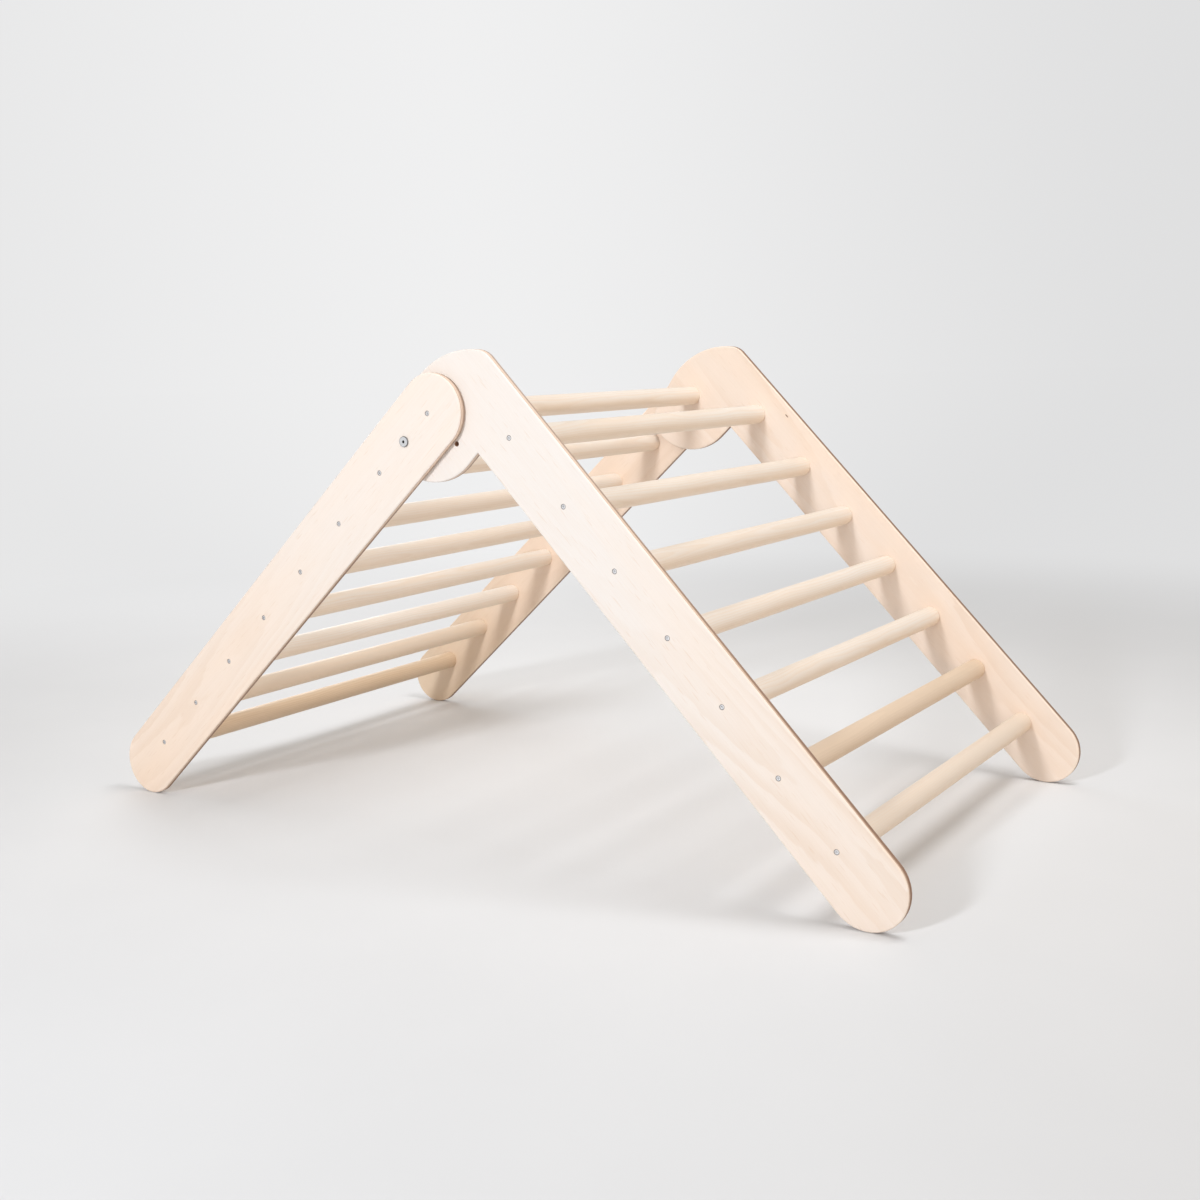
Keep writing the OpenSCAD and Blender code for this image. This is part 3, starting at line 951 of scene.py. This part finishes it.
def studio_world(settings):
    """Soft light from all sides. What the camera and shiny pieces see is the background."""
    world = bpy.data.worlds.new("studio")
    bpy.context.scene.world = world
    world.use_nodes = True
    world.node_tree.nodes.clear()
    graph = Graph(world.node_tree)
    light = graph.node("ShaderNodeBackground", {"Color": WORLD_COLOUR,
                                                "Strength": WORLD_STRENGTH})
    way = graph.node("ShaderNodeTexCoord", {}).outputs["Generated"]
    seen = graph.node("ShaderNodeBackground", {"Color": background_colour(graph, way, settings)})
    path = graph.node("ShaderNodeLightPath", {}).outputs
    direct = graph.math("MAXIMUM", path["Is Camera Ray"], graph.math(
        "MAXIMUM", path["Is Glossy Ray"], path["Is Transmission Ray"]))
    both = graph.node("ShaderNodeMixShader", {0: direct, 1: light.outputs[0],
                                              2: seen.outputs[0]})
    graph.node("ShaderNodeOutputWorld", {"Surface": both.outputs[0]})


def hang_softbox(name, place, width, power, colour):
    deselect_all()
    bpy.ops.object.light_add(type="AREA", location=place)
    lamp = bpy.context.active_object
    lamp.name = name
    lamp.data.shape = "DISK"
    lamp.data.size = width
    lamp.data.energy = power
    lamp.data.color = colour
    lamp.rotation_euler = (LAMP_TARGET - place).to_track_quat("-Z", "Y").to_euler()


# --- Operators -------------------------------------------------------------------------------

GROUPS = {}


def shared_groups():
    if not GROUPS:
        GROUPS["figure"] = wood_figure_group()
        GROUPS["ply"] = ply_edge_group()
        GROUPS["handling"] = handling_group()
    return GROUPS


class CLIMBING_OT_side_boards(bpy.types.Operator):
    """Round the edges of the four side boards and give them their birch veneer"""

    bl_idname = "climbing.side_boards"
    bl_label = "Side boards"

    def execute(self, context):
        settings = context.scene.climbing_boards
        for frame_name, leg in (("inner", INNER_LEG), ("outer", OUTER_LEG)):
            for side in SIDES:
                make_board(f"{frame_name}_board_{side}", leg, frame_name, settings,
                           shared_groups())
        return {"FINISHED"}


class CLIMBING_OT_rungs(bpy.types.Operator):
    """Turn the fifteen rungs of solid birch, the pivot rung among them"""

    bl_idname = "climbing.rungs"
    bl_label = "Rungs"

    def execute(self, context):
        settings = context.scene.climbing_rungs
        groups = shared_groups()
        inner = [f"inner_rung_{n}" for n in RUNG_NUMBERS]
        outer = [f"outer_rung_{n}" for n in RUNG_NUMBERS] + ["pivot_rung"]
        make_rungs("inner", inner, 1, settings, groups)
        make_rungs("outer", outer, 1 + len(inner), settings, groups)
        return {"FINISHED"}


class CLIMBING_OT_screws(bpy.types.Operator):
    """Give the countersunk screws of both frames their zinc finish"""

    bl_idname = "climbing.screws"
    bl_label = "Screws"

    def execute(self, context):
        settings = context.scene.climbing_fittings
        for frame_name, leg in (("inner", INNER_LEG), ("outer", OUTER_LEG)):
            material = screw_material(frame_name, leg, settings, shared_groups())
            for side in SIDES:
                names = [f"{frame_name}_screws_{side}"]
                if frame_name == "outer":
                    names.append(f"pivot_screw_{side}")
                for name in names:
                    give_material(NODES[name], material)
        return {"FINISHED"}


class CLIMBING_OT_lock_fittings(bpy.types.Operator):
    """Turn the lock bolts and their sleeve nuts"""

    bl_idname = "climbing.lock_fittings"
    bl_label = "Lock bolts and nuts"

    def execute(self, context):
        settings = context.scene.climbing_fittings
        material = lock_metal_material(settings, shared_groups())
        for side in SIDES:
            make_lock_piece(f"lock_bolt_{side}", settings.bolt_radius, 0.0, settings, material)
            make_lock_piece(f"lock_nut_{side}", settings.sleeve_radius,
                            settings.thread_radius, settings, material)
        return {"FINISHED"}


class CLIMBING_OT_stage(bpy.types.Operator):
    """Lay the floor, hang the lamps and set up the camera"""

    bl_idname = "climbing.stage"
    bl_label = "Stage"

    def execute(self, context):
        settings = context.scene.climbing_stage
        deselect_all()
        bpy.ops.mesh.primitive_circle_add(vertices=96, radius=FLOOR_RADIUS, fill_type="NGON",
                                          location=(0, 0, 0))
        floor = context.active_object
        floor.name = "studio_floor"
        floor.data.materials.append(floor_material(settings))
        studio_world(settings)
        for name, lamp in SOFTBOXES.items():
            hang_softbox(name, *lamp)
        deselect_all()
        bpy.ops.object.camera_add(location=settings.camera_place,
                                  rotation=settings.camera_turn)
        camera = context.active_object
        camera.data.lens = settings.lens
        camera.data.sensor_width = SENSOR_WIDTH
        camera.data.shift_x, camera.data.shift_y = settings.shift
        camera.data.clip_end = 100.0
        context.scene.camera = camera
        context.scene.view_settings.view_transform = "Standard"
        return {"FINISHED"}


class CLIMBING_PT_parts(bpy.types.Panel):
    """Lists the pieces of the climbing triangle"""

    bl_label = "Climbing triangle"
    bl_idname = "CLIMBING_PT_parts"
    bl_space_type = "VIEW_3D"
    bl_region_type = "UI"
    bl_category = "Climbing triangle"

    def draw(self, context):
        for operator in OPERATORS:
            self.layout.operator(operator.bl_idname)
        for holder in SETTINGS:
            group = getattr(context.scene, holder)
            box = self.layout.box()
            for name in group.bl_rna.properties.keys():
                if name not in ("rna_type", "name"):
                    box.prop(group, name)


OPERATORS = (CLIMBING_OT_side_boards, CLIMBING_OT_rungs, CLIMBING_OT_screws,
             CLIMBING_OT_lock_fittings, CLIMBING_OT_stage)
SETTINGS = {"climbing_boards": BoardSettings, "climbing_rungs": RungSettings,
            "climbing_fittings": FittingSettings, "climbing_stage": StageSettings}


def register():
    for holder, group in SETTINGS.items():
        bpy.utils.register_class(group)
        setattr(bpy.types.Scene, holder, bpy.props.PointerProperty(type=group))
    for operator in OPERATORS:
        bpy.utils.register_class(operator)
    bpy.utils.register_class(CLIMBING_PT_parts)


def unregister():
    bpy.utils.unregister_class(CLIMBING_PT_parts)
    for operator in reversed(OPERATORS):
        bpy.utils.unregister_class(operator)
    for holder, group in SETTINGS.items():
        delattr(bpy.types.Scene, holder)
        bpy.utils.unregister_class(group)


def main():
    register()
    bpy.ops.climbing.stage()
    bpy.ops.climbing.side_boards()
    bpy.ops.climbing.rungs()
    bpy.ops.climbing.screws()
    bpy.ops.climbing.lock_fittings()


if __name__ == "__main__":
    main()
